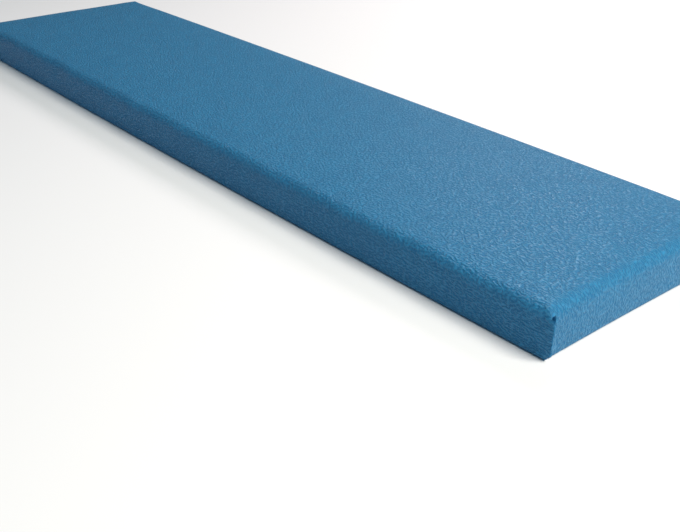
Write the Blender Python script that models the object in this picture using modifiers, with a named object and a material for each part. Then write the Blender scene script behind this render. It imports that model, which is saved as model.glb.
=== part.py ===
"""A bench cushion: one long, thin foam slab in a woven cover that wraps from the top over its sides.

Metres, +Z up. The origin is in the middle of the base, +X runs along the cushion's length and the
base lies on z = 0. The cover has no seam along its top edges. A short upright seam just round each
corner, on the cushion's end, pulls it in there as a tuck.
"""
import math

import bmesh
import bpy
from mathutils import Vector

# Driving dimensions
LENGTH = 1.200  # along X, over the fullest part of the ends
WIDTH = 0.300  # along Y, over the middle of the long sides
EDGE_HEIGHT = 0.050  # of the top where it turns over into the sides
CROWN = 0.003  # rise of the top's middle over its edges
TOP_RADIUS = 0.009  # of the soft round along the top edges
BASE_RADIUS = 0.003  # of the small roll along the base
BELLY = 0.0015  # swell of each side at half its height
SIDE_BOW = 0.0025  # how far the middle of a long side stands proud of its ends
END_DRAW = 0.0015  # how far the middle of an end is drawn in between its corners

# Flat of the base, which carries the cushion on its four corners
FLAT_INSET = 1.4 * TOP_RADIUS  # from the edges of the base
FLAT_WAIST = 0.0005  # how much further it is drawn in along the middle of a long side
RIM_RISE = 0.0003  # of the base's rim over the flat

# Upright corner seams
SEAM_FROM_CORNER = 0.0045  # along the end
SEAM_HALF_WIDTH = 0.0018  # of the tuck, where it starts to turn in
SEAM_DEPTH = 0.0030
SEAM_TOP = 0.036  # height at which the tuck starts to close
SEAM_FADE = 0.005  # height over which it closes

# Shape of the corners and the crown
PLAN_POWER = 4.0  # 2 is a round corner in plan, higher is squarer
CROWN_POWER_X = 8.0  # higher keeps the crown level further towards the ends
CROWN_POWER_Y = 2.0

# Cage: cuts across the block, measured in from its faces and up from its base
HALF_ROUND = 0.42 * TOP_RADIUS  # a cut here halves the arc of the top round
INNER_RIMS = (TOP_RADIUS, FLAT_INSET, 2 * TOP_RADIUS, 5 * TOP_RADIUS)
RIM_CUTS_X = (HALF_ROUND, *INNER_RIMS)
RIM_CUTS_Y = (*(SEAM_FROM_CORNER + step * SEAM_HALF_WIDTH for step in (-1, 0, 1)), *INNER_RIMS)
SPANS_X = 14  # even spans between the innermost rim cuts
SPANS_Y = 4
SIDE_LOW, SIDE_HIGH = BASE_RADIUS, EDGE_HEIGHT - TOP_RADIUS
SIDE_SPANS = 4
LEVEL_CUTS = (
    BASE_RADIUS / 2,
    *(SIDE_LOW + (SIDE_HIGH - SIDE_LOW) * step / SIDE_SPANS for step in range(SIDE_SPANS + 1)),
    EDGE_HEIGHT - HALF_ROUND,
)
CUT_TOLERANCE = 1e-6
SMOOTHING_LEVELS = 1

# Cover cloth: a heathered mid-blue slub weave
CLOTH_SRGB = (0.259, 0.502, 0.655)
CLOTH_ROUGHNESS = 0.92
CLOTH_METALLIC = 0.0
SHARP_ANGLE = math.radians(60)

HALF_X = LENGTH / 2 - BELLY
HALF_Y = WIDTH / 2 - BELLY


def clear_scene():
    """Remove every object, so that the model starts from an empty scene."""
    for item in list(bpy.data.objects):
        bpy.data.objects.remove(item, do_unlink=True)


def linear(channel):
    """Turn one sRGB channel into a linear one."""
    return channel / 12.92 if channel <= 0.04045 else ((channel + 0.055) / 1.055) ** 2.4


def cloth_material():
    """Make the cover's material."""
    material = bpy.data.materials.new("cover_cloth")
    material.use_nodes = True
    shader = material.node_tree.nodes["Principled BSDF"]
    shader.inputs["Base Color"].default_value = (*map(linear, CLOTH_SRGB), 1.0)
    shader.inputs["Roughness"].default_value = CLOTH_ROUGHNESS
    shader.inputs["Metallic"].default_value = CLOTH_METALLIC
    return material


def plan_cuts(half, rims, spans):
    """Give the places of the cuts between the two ends of an axis that reaches from -half to half."""
    inner = half - rims[-1]
    near_ends = [side * (half - cut) for cut in rims for side in (-1, 1)]
    evens = [inner * (2 * index / spans - 1) for index in range(1, spans)]
    return sorted(near_ends + evens)


def cut_across(bm, axis, places):
    """Cut the whole block square across one axis at each of the places."""
    normal = Vector((0, 0, 0))
    normal[axis] = 1
    for place in places:
        geometry = bm.verts[:] + bm.edges[:] + bm.faces[:]
        bmesh.ops.bisect_plane(
            bm, geom=geometry, dist=CUT_TOLERANCE, plane_co=normal * place, plane_no=normal
        )


def foam_block():
    """Make the square block that the foam is cut to, with its cage cuts."""
    bm = bmesh.new()
    bmesh.ops.create_cube(bm, size=1.0)
    bmesh.ops.translate(bm, verts=bm.verts, vec=(0, 0, 0.5))
    bmesh.ops.scale(bm, verts=bm.verts, vec=(2 * HALF_X, 2 * HALF_Y, EDGE_HEIGHT))
    cut_across(bm, 0, plan_cuts(HALF_X, RIM_CUTS_X, SPANS_X))
    cut_across(bm, 1, plan_cuts(HALF_Y, RIM_CUTS_Y, SPANS_Y))
    cut_across(bm, 2, LEVEL_CUTS)
    return bm


def onto_arc(out, over, radius):
    """Move a point of a square edge onto the arc inside it, both measured from the arc's centre."""
    reach = math.hypot(out, over)
    if out <= 0 or over <= 0 or reach == 0:
        return out, over
    return out * radius / reach, over * radius / reach


def past_core(point):
    """Give how far a point of the block lies past the core inside its round edges, along X and along Y."""
    return Vector((
        max(abs(point.x) - (HALF_X - TOP_RADIUS), 0),
        max(abs(point.y) - (HALF_Y - TOP_RADIUS), 0),
    ))


def rounded(point):
    """Take a point of the square block to the slab with its round top edges, base roll and corners."""
    past = past_core(point)
    out = max(past)
    if out == 0:
        return point.copy()

    squared = (past.x**PLAN_POWER + past.y**PLAN_POWER) ** (1 / PLAN_POWER)
    turned = past * (out / squared)

    height = point.z
    new_out = out
    if height > EDGE_HEIGHT - TOP_RADIUS:
        centre = EDGE_HEIGHT - TOP_RADIUS
        new_out, over = onto_arc(out, height - centre, TOP_RADIUS)
        height = centre + over
    elif height < BASE_RADIUS:
        inset = TOP_RADIUS - BASE_RADIUS
        new_out, under = onto_arc(out - inset, BASE_RADIUS - height, BASE_RADIUS)
        new_out += inset
        height = BASE_RADIUS - under

    turned *= new_out / out
    return Vector((
        math.copysign(abs(point.x) - past.x + turned.x, point.x),
        math.copysign(abs(point.y) - past.y + turned.y, point.y),
        height,
    ))


def filled(point, past):
    """Swell a point of the rounded slab as the filling does, with past the point's place past the core."""
    along = abs(point.x) / HALF_X
    across = abs(point.y) / HALF_Y
    level = point.z / EDGE_HEIGHT

    crown = CROWN * max(1 - along**CROWN_POWER_X, 0) * max(1 - across**CROWN_POWER_Y, 0)
    belly = past * (BELLY / TOP_RADIUS * math.sin(math.pi * min(level, 1)))
    draw = 1 - END_DRAW / HALF_X * max(1 - across**2, 0)
    bow = 1 - SIDE_BOW / HALF_Y * along**2
    return Vector((
        math.copysign(abs(point.x) * draw + belly.x, point.x),
        math.copysign(abs(point.y) * bow + belly.y, point.y),
        point.z + crown * level,
    ))


def base_insets(point):
    """Give how far a point of the block's base lies in from the two nearest edges, nearest first."""
    return sorted((HALF_X - abs(point.x), HALF_Y - abs(point.y)))


def on_flat(point):
    """Tell whether a point of the block lies on the flat of its base, its outline included."""
    return point.z < CUT_TOLERANCE and base_insets(point)[0] > FLAT_INSET - CUT_TOLERANCE


def flattened(point):
    """Take a point of the block's base to the flat, whose sides are drawn in between its corners."""
    along = abs(point.x) / HALF_X
    across = abs(point.y) / HALF_Y
    end_draw = END_DRAW * (1 - across**2)
    side_draw = SIDE_BOW + FLAT_WAIST * (1 - along**2)
    return Vector((point.x * (1 - end_draw / HALF_X), point.y * (1 - side_draw / HALF_Y), 0))


def on_seam(point):
    """Tell whether a point of the block lies on one of the four upright seams."""
    from_end = HALF_X - abs(point.x)
    from_side = HALF_Y - abs(point.y)
    return abs(from_end) < CUT_TOLERANCE and abs(from_side - SEAM_FROM_CORNER) < CUT_TOLERANCE


def tuck_depth(height):
    """Give the depth of a corner seam's tuck at a height."""
    open_share = min(max((SEAM_TOP + SEAM_FADE - height) / SEAM_FADE, 0), 1)
    return SEAM_DEPTH * open_share


def cushion_mesh():
    """Make the cushion's cage: the block, rounded, filled and tucked in at its corner seams."""
    bm = foam_block()
    sharp_edges = bm.edges.layers.float.new("crease_edge")
    sharp_points = bm.verts.layers.float.new("crease_vert")
    seams = {vert for vert in bm.verts if on_seam(vert.co)}
    flat = {vert for vert in bm.verts if on_flat(vert.co)}
    outline = {vert for vert in flat if base_insets(vert.co)[0] < FLAT_INSET + CUT_TOLERANCE}
    corners = {vert for vert in outline if base_insets(vert.co)[1] < FLAT_INSET + CUT_TOLERANCE}
    for vert in bm.verts:
        if vert in flat:
            vert.co = flattened(vert.co)
        else:
            vert.co = filled(rounded(vert.co), past_core(vert.co))
            vert.co.z += RIM_RISE
    for vert in seams:
        vert.co.x -= math.copysign(tuck_depth(vert.co.z), vert.co.x)

    tucked = {vert for vert in seams if tuck_depth(vert.co.z) > 0}
    for edge in bm.edges:
        if tucked.issuperset(edge.verts) or outline.issuperset(edge.verts):
            edge[sharp_edges] = 1.0
    for vert in corners:
        vert[sharp_points] = 1.0

    mesh = bpy.data.meshes.new("cushion")
    bm.to_mesh(mesh)
    bm.free()
    mesh.shade_smooth()
    mesh.set_sharp_from_angle(angle=SHARP_ANGLE)
    return mesh


def build():
    """Make the bench cushion in a collection of its own."""
    clear_scene()
    collection = bpy.data.collections.new("bench_cushion")
    bpy.context.scene.collection.children.link(collection)

    cushion = bpy.data.objects.new("cushion", cushion_mesh())
    cushion.data.materials.append(cloth_material())
    collection.objects.link(cushion)

    smoothing = cushion.modifiers.new("soft_form", "SUBSURF")
    smoothing.levels = SMOOTHING_LEVELS
    smoothing.render_levels = SMOOTHING_LEVELS
    return cushion


build()
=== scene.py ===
"""The looks of a bench cushion: a firm foam slab in one length of heathered blue slub weave.

The cover is wrapped from the top over the four sides, with no seam along the top edges, and a short
upright seam pulls it in at each corner. Lengths are in metres unless a name says millimetres.
"""
import logging
import math
from dataclasses import dataclass, field
from enum import Enum

import bpy
import numpy as np
from mathutils import Matrix, Vector
from mathutils.bvhtree import BVHTree
from mathutils.interpolate import poly_3d_calc


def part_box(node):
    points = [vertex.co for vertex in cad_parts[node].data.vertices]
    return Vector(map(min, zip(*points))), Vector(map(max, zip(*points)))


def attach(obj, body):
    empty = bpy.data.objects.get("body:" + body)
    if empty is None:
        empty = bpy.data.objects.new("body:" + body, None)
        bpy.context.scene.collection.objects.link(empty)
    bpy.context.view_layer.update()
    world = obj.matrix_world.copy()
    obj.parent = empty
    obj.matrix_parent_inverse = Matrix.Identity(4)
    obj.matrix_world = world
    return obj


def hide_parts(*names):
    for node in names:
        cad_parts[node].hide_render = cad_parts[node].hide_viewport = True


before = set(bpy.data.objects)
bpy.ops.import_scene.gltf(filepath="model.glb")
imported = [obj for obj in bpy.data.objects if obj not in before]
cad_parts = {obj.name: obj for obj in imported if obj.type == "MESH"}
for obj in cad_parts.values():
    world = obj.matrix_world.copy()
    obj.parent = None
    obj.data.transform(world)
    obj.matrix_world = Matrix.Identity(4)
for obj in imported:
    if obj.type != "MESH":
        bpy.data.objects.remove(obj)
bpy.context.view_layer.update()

MM = 0.001
ON_FACE = 1e-6  # how near a point of the block lies to a face that it is on
CUT_TOLERANCE = 1e-7
TINY = 1e-12  # the least length that is divided by
FACING = 0.5  # how much of a face's normal lies along an axis where the face looks that way
LOG = logging.getLogger("bench_cushion")


class Yarns(Enum):
    """The two sets of yarns in a plain weave, each named by the axis of the cloth that it runs along."""

    WARP = "X"
    WEFT = "Y"

    @property
    def across(self) -> str:
        """The axis of the cloth that the yarns lie side by side along."""
        return "Y" if self is Yarns.WARP else "X"


def linear(hex_colour: str) -> tuple[float, float, float, float]:
    """Turn an sRGB hex colour into a linear one.

    Args:
        hex_colour: the colour as "#rrggbb".

    Returns:
        Red, green, blue and alpha, linear.
    """
    channels = [int(hex_colour[i:i + 2], 16) / 255 for i in (1, 3, 5)]
    bent = [c / 12.92 if c <= 0.04045 else ((c + 0.055) / 1.055) ** 2.4 for c in channels]
    return (*bent, 1.0)


def smooth_step(low: float, high: float, value: np.ndarray) -> np.ndarray:
    """Ramp smoothly from 0 at low to 1 at high.

    Args:
        low: where the ramp starts.
        high: where it ends.
        value: what to ramp.

    Returns:
        The ramp's height for each value.
    """
    share = np.clip((value - low) / (high - low), 0, 1)
    return share * share * (3 - 2 * share)


@dataclass(frozen=True)
class SlabForm:
    """The form that the firm slab gives its cover, as a map from the square block to the filled cushion."""

    length: float
    width: float
    height: float
    crown: float = 0.0047
    top_radius: float = 0.010
    base_radius: float = 0.003
    belly: float = 0.0015
    side_bow: float = 0.0038
    end_draw: float = 0.0015
    plan_power: float = 10.0
    crown_power_x: float = 8.0
    crown_power_y: float = 2.0

    @property
    def edge_height(self) -> float:
        """The height of the top where it turns over into the sides."""
        return self.height - self.crown

    @property
    def half(self) -> np.ndarray:
        """Half the block's length and width."""
        return np.array([self.length, self.width]) / 2 - self.belly

    def past_core(self, block: np.ndarray) -> np.ndarray:
        """Say how far points lie past the core inside the round edges.

        Args:
            block: points of the block, one a row.

        Returns:
            The distance past the core along X and along Y, a row for each point.
        """
        return np.maximum(np.abs(block[:, :2]) - (self.half - self.top_radius), 0)

    def rounded(self, block: np.ndarray) -> np.ndarray:
        """Take points of the block to the slab with its round top edges, base roll and corners.

        Args:
            block: points of the block, one a row.

        Returns:
            The same points on the rounded slab.
        """
        past = self.past_core(block)
        out = past.max(axis=1)
        squared = (past**self.plan_power).sum(axis=1) ** (1 / self.plan_power)
        turned = past * (out / np.maximum(squared, TINY))[:, None]

        height = block[:, 2].copy()
        new_out = out.copy()

        centre = self.edge_height - self.top_radius
        over = height - centre
        at_top = (over > 0) & (out > 0)
        reach = np.hypot(out, over)
        new_out[at_top] = (out * self.top_radius / np.maximum(reach, TINY))[at_top]
        height[at_top] = (centre + over * self.top_radius / np.maximum(reach, TINY))[at_top]

        inset = self.top_radius - self.base_radius
        outer = out - inset
        under = self.base_radius - block[:, 2]
        at_base = (under > 0) & (outer > 0)
        reach = np.hypot(outer, under)
        new_out[at_base] = (inset + outer * self.base_radius / np.maximum(reach, TINY))[at_base]
        height[at_base] = (self.base_radius - under * self.base_radius / np.maximum(reach, TINY))[at_base]

        turned *= (new_out / np.maximum(out, TINY))[:, None]
        flat = np.sign(block[:, :2]) * (np.abs(block[:, :2]) - past + turned)
        return np.column_stack([flat, height])

    def filled(self, block: np.ndarray) -> np.ndarray:
        """Take points of the block to the filled cushion, with its crown, belly, bow and drawn-in ends.

        Args:
            block: points of the block, one a row.

        Returns:
            The same points on the filled cushion.
        """
        points = self.rounded(block)
        along, across = (np.abs(points[:, :2]) / self.half).T
        level = points[:, 2] / self.edge_height
        crown = (
            self.crown
            * np.maximum(1 - along**self.crown_power_x, 0)
            * np.maximum(1 - across**self.crown_power_y, 0)
        )
        wave = np.sin(np.pi * np.clip(level, 0, 1))
        belly = self.past_core(block) * (self.belly / self.top_radius * wave)[:, None]
        draw = 1 - self.end_draw / self.half[0] * np.maximum(1 - across**2, 0)
        bow = 1 - self.side_bow / self.half[1] * along**2
        scale = np.column_stack([draw, bow])
        flat = np.sign(points[:, :2]) * (np.abs(points[:, :2]) * scale + belly)
        return np.column_stack([flat, points[:, 2] + crown * level])

    def along_skin(self, out: np.ndarray, height: np.ndarray) -> np.ndarray:
        """Measure along the skin from the core's edge, over the round edge and down a side.

        Args:
            out: how far past the core each point of the block is, in plan.
            height: the block height of each point.

        Returns:
            The length of cloth from the core's edge to each point.
        """
        radius = self.top_radius
        over = height - (self.edge_height - radius)
        on_round = np.arctan2(np.maximum(out, 0), np.maximum(over, TINY)) * radius
        return np.where(over > 0, on_round, math.pi / 2 * radius - over)


@dataclass(frozen=True)
class CornerTuck:
    """The upright seam at a corner: the long side ends in a leaning ridge, and the cover folds in behind it.

    The fold lies just round the corner, on the end of the cushion. It opens into a short dart at its top.
    Its wall is soft on the ridge's side and steep on the far side, where the end's cloth starts. Each ramp
    is the pair of heights, or of heights below the top, between which a shape comes in.
    """

    ridge_rise: float = 0.0058
    ridge_lean: float = 0.35
    ridge_reach: float = 0.0045
    ridge_back: float = 0.0013
    ridge_top: float = 0.0415
    ridge_foot_ramp: tuple[float, float] = (-0.002, 0.008)
    ridge_head_ramp: tuple[float, float] = (-0.006, 0.004)
    from_corner: float = 0.0048
    top: float = 0.0410
    closing_ramp: tuple[float, float] = (-0.001, 0.002)
    mouth_height: float = 0.0110
    mouth_ends: tuple[float, float] = (0.5, 1.5)  # in mouth heights
    mouth_widening: float = 0.0014
    mouth_depth: float = 0.0080
    groove_near: float = 0.0017
    groove_far: float = 0.0013
    near_steepness: float = 2.5
    far_steepness: float = 6.0
    groove_depth: float = 0.0055
    lip_rise: float = 0.0007
    lip_reach: float = 0.0030
    lip_spread: float = 0.5  # of its reach
    lip_ramp: tuple[float, float] = (0.002, 0.02)

    def ridge(self, round_corner: np.ndarray, height: np.ndarray) -> np.ndarray:
        """Say how far the long side reaches out past the end, as the seam's ridge.

        Args:
            round_corner: distance round the outline from the corner, more than 0 on the end.
            height: height above the base.

        Returns:
            The reach along the cushion's length at each point.
        """
        reach = np.where(round_corner > 0, self.ridge_back, self.ridge_reach)
        upright = smooth_step(*self.ridge_foot_ramp, height)
        upright *= 1 - smooth_step(*self.ridge_head_ramp, height - self.ridge_top)
        lean = 1 - self.ridge_lean * (1 - np.clip(height / self.ridge_top, 0, 1))
        return self.ridge_rise * lean * upright * np.exp(-((round_corner / reach) ** 2))

    def press(self, round_corner: np.ndarray, height: np.ndarray) -> np.ndarray:
        """Say how far the skin is pressed in near a seam, or stands proud where negative.

        Args:
            round_corner: distance round the outline from the corner, more than 0 on the end.
            height: height above the base.

        Returns:
            The depth at each point.
        """
        from_seam = round_corner - self.from_corner
        below_top = self.top - height
        inside = smooth_step(*self.closing_ramp, below_top)
        mouth_ramp = (end * self.mouth_height for end in self.mouth_ends)
        mouth = inside * (1 - smooth_step(*mouth_ramp, below_top))
        far_width = self.groove_far + self.mouth_widening * mouth
        half_width = np.where(from_seam > 0, far_width, self.groove_near)
        depth = self.groove_depth + (self.mouth_depth - self.groove_depth) * mouth
        steepness = np.where(from_seam > 0, self.far_steepness, self.near_steepness)
        groove = depth * inside * np.exp(-np.abs(from_seam / half_width) ** steepness)
        lip = np.exp(-(((from_seam - self.lip_reach) / (self.lip_spread * self.lip_reach)) ** 2))
        return groove - self.lip_rise * smooth_step(*self.lip_ramp, below_top) * lip


@dataclass(frozen=True)
class Wave:
    """One wave along an edge, which may run differently on the two sides of the cushion."""

    share: float
    rate: float  # radians a metre
    phase: float = 0.0
    side_phase: float = 0.0  # added on the positive side and taken off on the other

    def at(self, place: np.ndarray, side: np.ndarray) -> np.ndarray:
        """Give the wave's height at each place, with side 1 or -1."""
        return self.share * np.sin(self.rate * place + self.phase + self.side_phase * side)


@dataclass(frozen=True)
class EdgeWander:
    """The cover's own gentle unevenness, seen as a wander of its top edges."""

    rise: float = 0.0011
    side_waves: tuple[Wave, ...] = (
        Wave(1.0, 41, side_phase=0.8),
        Wave(0.7, 67, 2.1, 1.7),
        Wave(0.4, 103, -0.6),
    )
    end_wave: Wave = Wave(1.0, 38, side_phase=1.1)
    end_share: float = 0.6
    drop_share: float = 0.5
    from_height: float = 0.012
    side_reach: float = 0.035
    end_reach: float = 0.030

    def moves(self, block: np.ndarray, form: SlabForm) -> np.ndarray:
        """Give how far the unevenness moves each point.

        Args:
            block: points of the block, one a row.
            form: the slab's form.

        Returns:
            How far each point moves.
        """
        x, y, z = block.T
        level = smooth_step(self.from_height, form.edge_height, z)
        near_side = smooth_step(self.side_reach, 0, form.half[1] - np.abs(y))
        near_end = smooth_step(self.end_reach, 0, form.half[0] - np.abs(x))
        waves = sum(wave.at(x, np.sign(y)) for wave in self.side_waves)
        side_wander = waves / sum(wave.share for wave in self.side_waves) * near_side
        end_wander = self.end_share * self.end_wave.at(y, np.sign(x)) * near_end
        return self.rise * level[:, None] * np.column_stack([
            np.sign(x) * end_wander,
            np.sign(y) * side_wander,
            -self.drop_share * (side_wander + end_wander),
        ])


@dataclass(frozen=True)
class Filling:
    """How the foam fills out the cover, as a short cloth simulation on a plain copy without gravity."""

    frames: int = 20
    limit: float = 0.0010
    cell: float = 0.012
    side_steps: int = 3
    rims: tuple[float, ...] = (0.42, 1.0, 1.8)  # in top radii
    arc_angles: tuple[float, ...] = (22.5,)
    ripple_rise: float = 0.0004
    ripple_rates: tuple[float, float] = (61, 83)
    ripple_phases: tuple[float, float] = (1.3, 0.4)
    ripple_ramp: tuple[float, float] = (0.01, 0.04)
    pinned_below: float = 0.002
    settled_ramp: tuple[float, float] = (0.001, 0.012)
    quality: int = 8
    mass: float = 0.3
    stretch_stiffness: float = 15
    shear_stiffness: float = 5
    bending_stiffness: float = 0.5
    pressure: float = 4

    def rippled(self, points: np.ndarray, block: np.ndarray) -> np.ndarray:
        """Give the heights of the points with the faint ripple that the simulation starts from.

        Args:
            points: the points of the filled cushion, one a row.
            block: the same points on the block.

        Returns:
            The height of each point.
        """
        along, across = (block[:, :2] * self.ripple_rates + self.ripple_phases).T
        ripple = self.ripple_rise * np.sin(along) * np.cos(across)
        return points[:, 2] + ripple * smooth_step(*self.ripple_ramp, points[:, 2])

    def run(self, trial: bpy.types.Object, pins: str) -> None:
        """Fill the plain copy, and apply what the simulation does to it.

        Args:
            trial: the plain copy of the cover, not yet filled.
            pins: its vertex group that stays where it is.
        """
        cloth = trial.modifiers.new("filling", "CLOTH")
        for setting, value in (
            ("quality", self.quality),
            ("mass", self.mass),
            ("tension_stiffness", self.stretch_stiffness),
            ("compression_stiffness", self.stretch_stiffness),
            ("shear_stiffness", self.shear_stiffness),
            ("bending_stiffness", self.bending_stiffness),
            ("use_pressure", True),
            ("uniform_pressure_force", self.pressure),
            ("vertex_group_mass", pins),
        ):
            setattr(cloth.settings, setting, value)
        cloth.settings.effector_weights.gravity = 0
        cloth.collision_settings.use_collision = False
        cloth.point_cache.frame_start = 1
        cloth.point_cache.frame_end = self.frames
        scene = bpy.context.scene
        for frame_number in range(1, self.frames + 1):
            scene.frame_set(frame_number)
        bpy.context.view_layer.objects.active = trial
        bpy.ops.object.modifier_apply(modifier=cloth.name)
        scene.frame_set(1)


@dataclass
class CushionCover:
    """The filled cover, as one closed padded piece."""

    form: SlabForm
    tuck: CornerTuck = field(default_factory=CornerTuck)
    filling: Filling = field(default_factory=Filling)
    wander: EdgeWander = field(default_factory=EdgeWander)
    cell: float = 0.0052
    side_steps: int = 10
    arc_angles: tuple[float, ...] = (11.25, 22.5, 33.75)
    inner_rims: tuple[float, ...] = (1.4, 1.9)  # in top radii
    end_cuts_mm: tuple[float, ...] = (1.5,)
    seam_cuts_mm: tuple[float, ...] = (
        0.3, 0.6, 1.0, 1.5, 2.1, 2.8, 3.5, 4.2, 4.8, 5.4, 5.8, 6.2, 6.6, 7.0, 7.4
    )
    crease_angle: float = 50.0  # the fold's steep wall stays crisp, the rest is shaded smooth
    fill: float = 0.92

    def rim_cuts(self, axis: int, fine: bool) -> list[float]:
        """Give the distances of the cuts near an edge, measured in from it.

        Args:
            axis: 0 for cuts across the length, 1 for cuts across the width.
            fine: whether the cuts are those of the finished cover.

        Returns:
            The distances, from the edge inwards.
        """
        radius = self.form.top_radius
        if not fine:
            return [rim * radius for rim in self.filling.rims]
        arc = [radius * (1 - math.tan(math.radians(angle))) for angle in (*reversed(self.arc_angles), 0)]
        cuts_mm = self.end_cuts_mm
        if axis == 1:
            # the seam's own close cuts stand in for the outer ones of the round
            arc = arc[2:]
            cuts_mm = self.seam_cuts_mm
        return [*(cut * MM for cut in cuts_mm), *arc, *(rim * radius for rim in self.inner_rims)]

    def cuts(self, fine: bool) -> list[list[float]]:
        """Give the places of all the cuts across the block.

        Args:
            fine: whether the cuts are those of the finished cover.

        Returns:
            The places along X, along Y and along Z.
        """
        cuts = self if fine else self.filling
        places = []
        for axis, half in enumerate(self.form.half):
            rims = self.rim_cuts(axis, fine)
            inner = half - rims[-1]
            spans = round(2 * inner / cuts.cell)
            evens = [inner * (2 * i / spans - 1) for i in range(1, spans)]
            places.append([side * (half - cut) for cut in rims for side in (-1, 1)] + evens)

        top, base = self.form.top_radius, self.form.base_radius
        edge = self.form.edge_height
        steps = cuts.side_steps
        sides = [base + (edge - top - base) * i / steps for i in range(steps + 1)]
        heights = [edge - top + top * math.tan(math.radians(angle)) for angle in cuts.arc_angles]
        half_roll = base * (1 - math.tan(math.pi / 8))
        places.append([half_roll, *sides, *heights])
        return places

    def block(self, name: str, fine: bool) -> bpy.types.Object:
        """Make the square block with its cuts.

        Args:
            name: the object's name.
            fine: whether the cuts are those of the finished cover.

        Returns:
            The block, in object mode.
        """
        bpy.ops.object.select_all(action="DESELECT")
        edge = self.form.edge_height
        size = (2 * self.form.half[0], 2 * self.form.half[1], edge)
        bpy.ops.mesh.primitive_cube_add(size=1, location=(0, 0, edge / 2), scale=size)
        block = bpy.context.active_object
        block.name = name
        block.data.name = name
        bpy.ops.object.transform_apply(location=True, rotation=True, scale=True)
        bpy.ops.object.mode_set(mode="EDIT")
        for axis, places in enumerate(self.cuts(fine)):
            normal = tuple(float(i == axis) for i in range(3))
            for place in places:
                bpy.ops.mesh.select_all(action="SELECT")
                point = tuple(place * n for n in normal)
                bpy.ops.mesh.bisect(plane_co=point, plane_no=normal, threshold=CUT_TOLERANCE)
        bpy.ops.object.mode_set(mode="OBJECT")
        return block

    def lay_out(self, cover: bpy.types.Object, block: np.ndarray) -> None:
        """Lay the cloth out flat on a UV map in metres, wrapped from the top down over each side.

        Args:
            cover: the piece, whose faces are still those of the block.
            block: its points on the block, one a row.
        """
        mesh = cover.data
        half = self.form.half
        radius = self.form.top_radius
        core = half - radius
        loops = np.zeros(len(mesh.loops), dtype=int)
        mesh.loops.foreach_get("vertex_index", loops)
        normals = np.zeros(len(mesh.polygons) * 3)
        mesh.polygons.foreach_get("normal", normals)
        normals = normals.reshape(-1, 3)
        counts = np.zeros(len(mesh.polygons), dtype=int)
        mesh.polygons.foreach_get("loop_total", counts)
        facing = np.repeat(normals, counts, axis=0)
        at = block[loops]

        reach = self.form.along_skin(np.abs(at[:, :2]) - core, at[:, 2:3])
        wrapped = np.sign(at[:, :2]) * np.where(np.abs(at[:, :2]) > core, core + reach, np.abs(at[:, :2]))
        uv = at[:, :2].copy()
        for axis, other in ((0, 1), (1, 0)):
            on_side = np.abs(facing[:, axis]) > FACING
            uv[on_side, axis] = wrapped[on_side, axis]
            uv[on_side, other] = at[on_side, other]
        # round each corner the long side's cloth carries on as far as the seam
        gap = half[1] - np.abs(at[:, 1])
        centre_gap = np.repeat(half[1] - np.abs(self.face_middles(mesh)[:, 1]), counts)
        wraps_on = (np.abs(facing[:, 0]) > FACING) & (centre_gap < self.tuck.from_corner)
        uv[wraps_on, 0] = (np.sign(at[:, 0]) * (half[0] + gap))[wraps_on]
        uv[wraps_on, 1] = (np.sign(at[:, 1]) * (core[1] + self.form.along_skin(radius, at[:, 2])))[wraps_on]
        on_top = facing[:, 2] > FACING
        uv[on_top] = wrapped[on_top]
        on_base = facing[:, 2] < -FACING
        apart = np.array([0, 2 * self.form.width])
        uv[on_base] = at[on_base, :2] + apart

        layer = mesh.uv_layers.active or mesh.uv_layers.new(name="cloth")
        layer.name = "cloth"
        layer.data.foreach_set("uv", uv.astype(np.float32).ravel())

    @staticmethod
    def face_middles(mesh: bpy.types.Mesh) -> np.ndarray:
        """Give the middle of each face of a mesh.

        Args:
            mesh: the mesh.

        Returns:
            The middles, one a row.
        """
        middles = np.zeros(len(mesh.polygons) * 3)
        mesh.polygons.foreach_get("center", middles)
        return middles.reshape(-1, 3)

    def puffed(self) -> tuple[BVHTree, np.ndarray, np.ndarray, list[tuple[int, ...]]]:
        """Fill a plain copy of the cover with a cloth simulation.

        Returns:
            The plain block's search tree, its points, how far each of them moves, and its faces.
        """
        trial = self.block("trial_cover", fine=False)
        count = len(trial.data.vertices)
        block = np.zeros(count * 3)
        trial.data.vertices.foreach_get("co", block)
        block = block.reshape(-1, 3)
        faces = [tuple(face.vertices) for face in trial.data.polygons]
        tree = BVHTree.FromPolygons([Vector(p) for p in block], faces)

        start = self.form.filled(block)
        start[:, 2] = self.filling.rippled(start, block)
        trial.data.vertices.foreach_set("co", start.ravel())
        pins = trial.vertex_groups.new(name="base")
        low = np.flatnonzero(start[:, 2] < self.filling.pinned_below)
        pins.add(low.tolist(), 1.0, "REPLACE")
        self.filling.run(trial, pins.name)

        moved = np.zeros(count * 3)
        trial.data.vertices.foreach_get("co", moved)
        moved = moved.reshape(-1, 3) - start
        size = np.linalg.norm(moved, axis=1, keepdims=True)
        moved *= np.minimum(1, self.filling.limit / np.maximum(size, TINY))
        bpy.data.objects.remove(trial)
        return tree, block, moved, faces

    def puff_at(self, block: np.ndarray) -> np.ndarray:
        """Read the simulated filling's movement at other points of the block.

        Args:
            block: points of the block, one a row.

        Returns:
            How far each of them moves.
        """
        tree, corners, moved, faces = self.puffed()
        result = np.zeros_like(block)
        for row, point in enumerate(block):
            spot, _, index, _ = tree.find_nearest(Vector(point))
            ring = list(faces[index])
            weights = poly_3d_calc([Vector(corner) for corner in corners[ring]], spot)
            result[row] = np.array(weights) @ moved[ring]
        return result

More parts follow.
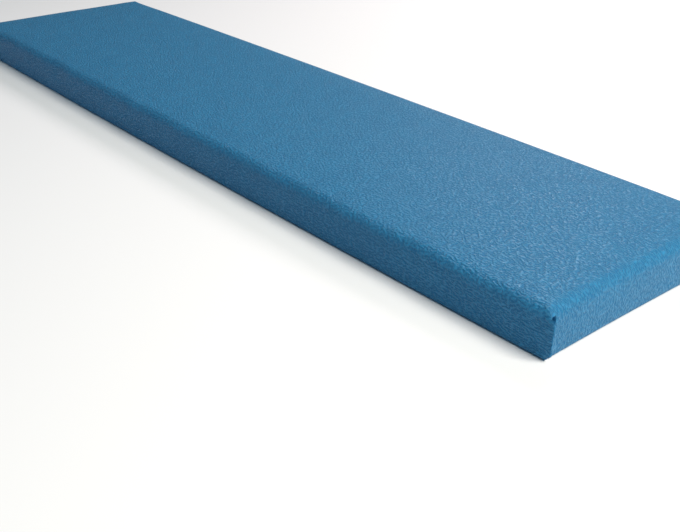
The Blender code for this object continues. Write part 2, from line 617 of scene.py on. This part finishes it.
    def tucked(self, block: np.ndarray, points: np.ndarray) -> np.ndarray:
        """Press the corner seams into the finished form.

        Args:
            block: points of the block, one a row.
            points: where they are on the cushion.

        Returns:
            The points with the seams pressed in.
        """
        gaps = self.form.half - np.abs(block[:, :2])
        on_end = gaps[:, 0] < ON_FACE
        on_side = on_end | (gaps[:, 1] < ON_FACE)
        round_corner = np.where(on_end, gaps[:, 1], -gaps[:, 0])
        near = on_side & (np.abs(round_corner) < self.form.top_radius)
        outward = (self.form.past_core(block) / self.form.top_radius) ** (self.form.plan_power - 1)
        outward /= np.maximum(np.linalg.norm(outward, axis=1, keepdims=True), TINY)
        depth = self.tuck.press(round_corner, points[:, 2]) * near
        result = points.copy()
        result[:, :2] -= np.sign(block[:, :2]) * outward * depth[:, None]
        result[:, 0] += np.sign(block[:, 0]) * self.tuck.ridge(round_corner, points[:, 2]) * on_side
        return result

    def build(self, name: str) -> bpy.types.Object:
        """Make the finished cover.

        Args:
            name: the piece's name.

        Returns:
            The cover, closed and shaded smooth, without a material.
        """
        cover = self.block(name, fine=True)
        mesh = cover.data
        block = np.zeros(len(mesh.vertices) * 3)
        mesh.vertices.foreach_get("co", block)
        block = block.reshape(-1, 3)
        self.lay_out(cover, block)

        points = self.form.filled(block) + self.wander.moves(block, self.form)
        settled = smooth_step(*self.filling.settled_ramp, block[:, 2:3])
        points += self.puff_at(block) * settled
        points = self.tucked(block, points)
        points[:, 2] = np.maximum(points[:, 2], 0)
        mesh.vertices.foreach_set("co", points.ravel())
        mesh.update()
        mesh.shade_smooth()
        mesh.set_sharp_from_angle(angle=math.radians(self.crease_angle))
        return cover


def add_node(
    tree: bpy.types.NodeTree,
    kind: str,
    inputs: dict[int | str, object] | None = None,
    output: int | str = 0,
    **settings: object,
) -> bpy.types.NodeSocket:
    """Add a node with its settings and links.

    Args:
        tree: the material's nodes.
        kind: the node's type, without the "ShaderNode" that all of them start with.
        inputs: for each input, the socket that feeds it or its own value.
        output: which of the node's outputs to give back.
        settings: the node's other settings.

    Returns:
        The chosen output of the new node.
    """
    node = tree.nodes.new("ShaderNode" + kind)
    for key, value in settings.items():
        setattr(node, key, value)
    for socket, value in (inputs or {}).items():
        if isinstance(value, bpy.types.NodeSocket):
            tree.links.new(value, node.inputs[socket])
        else:
            node.inputs[socket].default_value = value
    return node.outputs[output]


@dataclass(frozen=True)
class YarnSize:
    """How one set of yarns lies in the cloth, in millimetres.

    The real yarns are about 0.8 mm apart, too fine to show, so they are drawn about twice as coarse.
    """

    spacing_mm: float
    slub_mm: float
    seed: float


@dataclass(frozen=True)
class SlubWeave:
    """Polyester linen, woven plain from slub yarns of two blues.

    The uneven yarns give the eye short light and dark flecks on a matt, dry surface. The light flecks stand
    up from it and are smoother, so they shine a little where the cloth mirrors a light, and the dark ones
    stay matt. A faint paler bloom shows where the cloth turns away.
    """

    name: str = "polyester_linen_slub_weave"
    dark: str = "#004c7e"
    light: str = "#3c98c7"
    warp: YarnSize = YarnSize(spacing_mm=1.7, slub_mm=6.5, seed=17.3)
    weft: YarnSize = YarnSize(spacing_mm=2.1, slub_mm=4.5, seed=13.7)
    wander_mm: float = 0.7
    wander_reach_mm: float = 7.0
    heather_mm: float = 26.0
    wander_detail: float = 1.0
    slub_detail: float = 2.0
    heather_detail: float = 3.0
    fleck_mm: tuple[float, float] = (3.8, 2.0)
    fleck_detail: float = 2.0
    fleck_edge: tuple[float, float] = (0.4, 0.6)  # of the noise, so that each fleck has a soft outline
    relief_mm: float = 0.45
    slub_relief: float = 0.7
    fleck_relief: float = 1.8
    weave_relief: float = 0.3
    yarn_contrast: float = 0.25
    fleck_contrast: float = 0.22
    heather_contrast: float = 0.2
    # painted shade: the tone darkens where a yarn dips between its neighbours or passes under a crossing
    # yarn
    weave_gap_shade_contrast: float = 0.1
    tone: float = 0.45
    matt_roughness: float = 0.62
    fleck_roughness: float = 0.34
    ior: float = 1.46
    specular: float = 0.26
    sheen: float = 0.05
    sheen_roughness: float = 0.45
    sheen_tint: str = "#f4f8ff"

    def woven(self, tree: bpy.types.NodeTree) -> tuple[bpy.types.NodeSocket, bpy.types.NodeSocket]:
        """Lay out the cloth in millimetres from the cover's own map, which is in metres.

        Args:
            tree: the material's nodes.

        Returns:
            The place on the cloth, and the same place as the slightly wandering yarns have it.
        """
        cloth = add_node(tree, "UVMap", uv_map="cloth")
        in_mm = add_node(tree, "VectorMath", {0: cloth, "Scale": 1 / MM}, operation="SCALE")
        bend = add_node(
            tree,
            "TexNoise",
            {"Vector": in_mm, "Scale": 1 / self.wander_reach_mm, "Detail": self.wander_detail},
            "Color",
        )
        centred = add_node(tree, "VectorMath", {0: bend, 1: (0.5, 0.5, 0.5)}, operation="SUBTRACT")
        shift = add_node(
            tree, "VectorMath", {0: centred, "Scale": 2 * self.wander_mm}, operation="SCALE"
        )
        return in_mm, add_node(tree, "VectorMath", {0: in_mm, 1: shift}, operation="ADD")

    def yarn(
        self, tree: bpy.types.NodeTree, woven: bpy.types.NodeSocket, yarns: Yarns
    ) -> dict[str, bpy.types.NodeSocket]:
        """Number the yarns of one set, round each off, and vary its tone along it.

        Args:
            tree: the material's nodes.
            woven: the place on the cloth, in millimetres.
            yarns: which set of yarns.

        Returns:
            The yarn's number, how high its round stands and its tone, each about 0 to 1.
        """
        size = self.warp if yarns is Yarns.WARP else self.weft
        along = add_node(tree, "SeparateXYZ", {0: woven}, yarns.value)
        across = add_node(tree, "SeparateXYZ", {0: woven}, yarns.across)
        turns = add_node(tree, "Math", {0: across, 1: size.spacing_mm}, operation="DIVIDE")
        number = add_node(tree, "Math", {0: turns}, operation="FLOOR")
        part = add_node(tree, "Math", {0: turns}, operation="FRACT")
        angle = add_node(tree, "Math", {0: part, 1: math.pi}, operation="MULTIPLY")
        stands = add_node(tree, "Math", {0: angle}, operation="SINE")

        # slubs: each yarn is lighter and darker by turns along its own length
        step = add_node(tree, "Math", {0: along, 1: size.slub_mm}, operation="DIVIDE")
        own = add_node(tree, "Math", {0: number, 1: size.seed}, operation="MULTIPLY")
        line = add_node(tree, "CombineXYZ", {yarns.value: step, yarns.across: own})
        tone = add_node(tree, "TexNoise", {"Vector": line, "Scale": 1.0, "Detail": self.slub_detail})
        return {"number": number, "stands": stands, "tone": tone}

    def material(self) -> bpy.types.Material:
        """Make the material.

        Returns:
            The material.
        """
        made = bpy.data.materials.new(self.name)
        made.use_nodes = True
        tree = made.node_tree
        shader = tree.nodes["Principled BSDF"]
        in_mm, woven = self.woven(tree)
        warp = self.yarn(tree, woven, Yarns.WARP)
        weft = self.yarn(tree, woven, Yarns.WEFT)

        # over and under by turns: the warp is up on every other crossing
        both = add_node(tree, "Math", {0: warp["number"], 1: weft["number"]}, operation="ADD")
        turn = add_node(tree, "Math", {0: both, 1: 2.0}, operation="FLOORED_MODULO")
        side = add_node(tree, "Math", {0: turn, 1: -2.0, 2: 1.0}, operation="MULTIPLY_ADD")
        lift = add_node(tree, "Math", {0: weft["stands"], 1: side}, operation="MULTIPLY")
        warp_up = add_node(tree, "Math", {0: lift, 1: 0.5, 2: 0.5}, operation="MULTIPLY_ADD")
        weft_up = add_node(tree, "Math", {0: lift, 1: -0.5, 2: 0.5}, operation="MULTIPLY_ADD")
        warp_height = add_node(tree, "Math", {0: warp["stands"], 1: warp_up}, operation="MULTIPLY")
        weft_height = add_node(tree, "Math", {0: weft["stands"], 1: weft_up}, operation="MULTIPLY")
        height = add_node(tree, "Math", {0: warp_height, 1: weft_height}, operation="MAXIMUM")
        warp_shows = add_node(tree, "Math", {0: warp_height, 1: weft_height}, operation="GREATER_THAN")

        yarn = add_node(tree, "Mix", {0: warp_shows, 2: weft["tone"], 3: warp["tone"]})
        slub = add_node(tree, "Math", {0: yarn, 1: 0.5}, operation="SUBTRACT")
        heather = add_node(
            tree,
            "TexNoise",
            {"Vector": in_mm, "Scale": 1 / self.heather_mm, "Detail": self.heather_detail},
        )

        # flecks: short patches of many yarns, longer along the cushion than across it
        long, wide = self.fleck_mm
        shrink = (1 / long, 1 / wide, 1)
        patches = add_node(tree, "VectorMath", {0: woven, 1: shrink}, operation="MULTIPLY")
        grain = add_node(
            tree, "TexNoise", {"Vector": patches, "Scale": 1.0, "Detail": self.fleck_detail}
        )
        low, high = self.fleck_edge
        fleck = add_node(
            tree, "MapRange", {0: grain, 1: low, 2: high}, interpolation_type="SMOOTHSTEP"
        )
        tone = self.tone
        for value, middle, contrast in (
            (slub, 0.0, self.yarn_contrast),
            (fleck, 0.5, self.fleck_contrast),
            (heather, 0.5, self.heather_contrast),
            # painted shade in the weave's gaps: darker where the yarns' height is low
            (height, 0.6, self.weave_gap_shade_contrast),
        ):
            centred = add_node(tree, "Math", {0: value, 1: middle}, operation="SUBTRACT")
            tone = add_node(tree, "Math", {0: centred, 1: contrast, 2: tone}, operation="MULTIPLY_ADD")
        colour = add_node(
            tree, "Mix", {0: tone, 6: linear(self.dark), 7: linear(self.light)}, 2, data_type="RGBA"
        )
        tree.links.new(colour, shader.inputs["Base Color"])

        relief = 0.0
        for value, share in (
            (slub, self.slub_relief),
            (fleck, self.fleck_relief),
            (height, self.weave_relief),
        ):
            relief = add_node(tree, "Math", {0: value, 1: share, 2: relief}, operation="MULTIPLY_ADD")
        bump = add_node(tree, "Bump", {"Height": relief, "Distance": self.relief_mm * MM})
        tree.links.new(bump, shader.inputs["Normal"])
        shine = add_node(
            tree, "MapRange", {0: fleck, 3: self.matt_roughness, 4: self.fleck_roughness}
        )
        tree.links.new(shine, shader.inputs["Roughness"])
        for socket, value in (
            ("IOR", self.ior),
            ("Specular IOR Level", self.specular),
            ("Sheen Weight", self.sheen),
            ("Sheen Roughness", self.sheen_roughness),
            ("Sheen Tint", linear(self.sheen_tint)),
        ):
            shader.inputs[socket].default_value = value
        return made


@dataclass(frozen=True)
class PalePaper:
    """Seamless background paper, matt and nearly white, which gives the eye only a soft shadow."""

    name: str = "matt_background_paper"
    colour: str = "#e8ecf0"
    roughness: float = 0.95

    def material(self) -> bpy.types.Material:
        """Make the material.

        Returns:
            The material.
        """
        made = bpy.data.materials.new(self.name)
        made.use_nodes = True
        shader = made.node_tree.nodes["Principled BSDF"]
        shader.inputs["Base Color"].default_value = linear(self.colour)
        shader.inputs["Roughness"].default_value = self.roughness
        return made


@dataclass(frozen=True)
class SoftLight:
    """One soft studio light, a square panel that faces the cushion."""

    name: str
    azimuth: float
    elevation: float
    distance: float
    size: float
    power: float
    colour: str = "#ffffff"
    target: tuple[float, float, float] = (0.0, 0.0, 0.0)

    def place(self) -> bpy.types.Object:
        """Put the light in the scene, turned to its target. Azimuth 0 is towards -Y and 90 towards +X.

        Returns:
            The light.
        """
        turn, rise = math.radians(self.azimuth), math.radians(self.elevation)
        away = Vector((math.sin(turn) * math.cos(rise), -math.cos(turn) * math.cos(rise), math.sin(rise)))
        data = bpy.data.lights.new(self.name, "AREA")
        data.size = self.size
        data.energy = self.power
        data.color = linear(self.colour)[:3]
        light = bpy.data.objects.new(self.name, data)
        light.location = Vector(self.target) + away * self.distance
        light.rotation_euler = away.to_track_quat("Z", "Y").to_euler()
        bpy.context.scene.collection.objects.link(light)
        return light


@dataclass
class Studio:
    """A pale floor, soft light and a camera at the photograph's viewing angle."""

    floor_size: float = 14.0
    floor_drop: float = 0.0002  # keeps it clear of the base
    world_colour: str = "#c4f0ff"
    world_strength: float = 0.11
    frame_width_px: int = 680
    focal_px: float = 956.2
    sensor_mm: float = 36.0
    camera_at: tuple[float, float, float] = (0.9996, -0.7145, 0.4524)
    azimuth: float = 49.62
    pitch: float = 28.26
    roll: float = 0.68
    lights: tuple[SoftLight, ...] = (
        SoftLight(
            "key_panel", azimuth=98, elevation=46, distance=3.0, size=1.5, power=113, colour="#fff7ec"
        ),
        SoftLight(
            "window_panel", azimuth=214, elevation=37, distance=2.4, size=0.7, power=24,
            colour="#fff0ee", target=(0.5, 0, 0),
        ),
        SoftLight(
            "front_panel", azimuth=-25, elevation=18, distance=3.0, size=1.6, power=7, colour="#8ccfff"
        ),
    )

    def floor(self) -> bpy.types.Object:
        """Lay the floor under the cushion.

        Returns:
            The floor.
        """
        bpy.ops.object.select_all(action="DESELECT")
        bpy.ops.mesh.primitive_plane_add(size=self.floor_size, location=(0, 0, -self.floor_drop))
        floor = bpy.context.active_object
        floor.name = "studio_floor"
        floor.data.materials.append(PalePaper().material())
        return floor

    def world(self) -> None:
        """Surround the scene with an even pale light."""
        world = bpy.data.worlds.new("studio_air")
        world.use_nodes = True
        background = world.node_tree.nodes["Background"]
        background.inputs["Color"].default_value = linear(self.world_colour)
        background.inputs["Strength"].default_value = self.world_strength
        bpy.context.scene.world = world

    def camera(self) -> bpy.types.Object:
        """Stand the camera where the photograph was taken from.

        Returns:
            The camera.
        """
        turn, dip, lean = (math.radians(v) for v in (self.azimuth, self.pitch, self.roll))
        ahead = Vector((-math.sin(turn) * math.cos(dip), math.cos(turn) * math.cos(dip), -math.sin(dip)))
        level = ahead.cross(Vector((0, 0, 1))).normalized()
        upright = level.cross(ahead)
        right = level * math.cos(lean) + upright * math.sin(lean)
        above = upright * math.cos(lean) - level * math.sin(lean)
        data = bpy.data.cameras.new("camera")
        data.sensor_width = self.sensor_mm
        data.lens = self.focal_px / self.frame_width_px * self.sensor_mm
        camera = bpy.data.objects.new("camera", data)
        axes = Matrix((right, above, -ahead)).transposed()
        camera.matrix_world = Matrix.Translation(self.camera_at) @ axes.to_4x4()
        bpy.context.scene.collection.objects.link(camera)
        bpy.context.scene.camera = camera
        return camera

    def build(self) -> None:
        """Set up the floor, the light and the camera."""
        self.floor()
        self.world()
        for light in self.lights:
            light.place()
        self.camera()
        bpy.context.scene.view_settings.view_transform = "Standard"


def main() -> None:
    """Build the cushion and its studio, and log each piece."""
    logging.basicConfig(level=logging.INFO, format="%(name)s: %(message)s")
    Studio().build()

    low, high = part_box("cushion")
    size = high - low
    form = SlabForm(length=size.x, width=size.y, height=size.z)
    cover = CushionCover(form).build("cushion_cover")
    cover.data.materials.append(SlubWeave().material())
    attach(cover, "root")
    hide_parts("cushion")
    LOG.info("%s: %d faces", cover.name, len(cover.data.polygons))


if __name__ == "__main__":
    main()
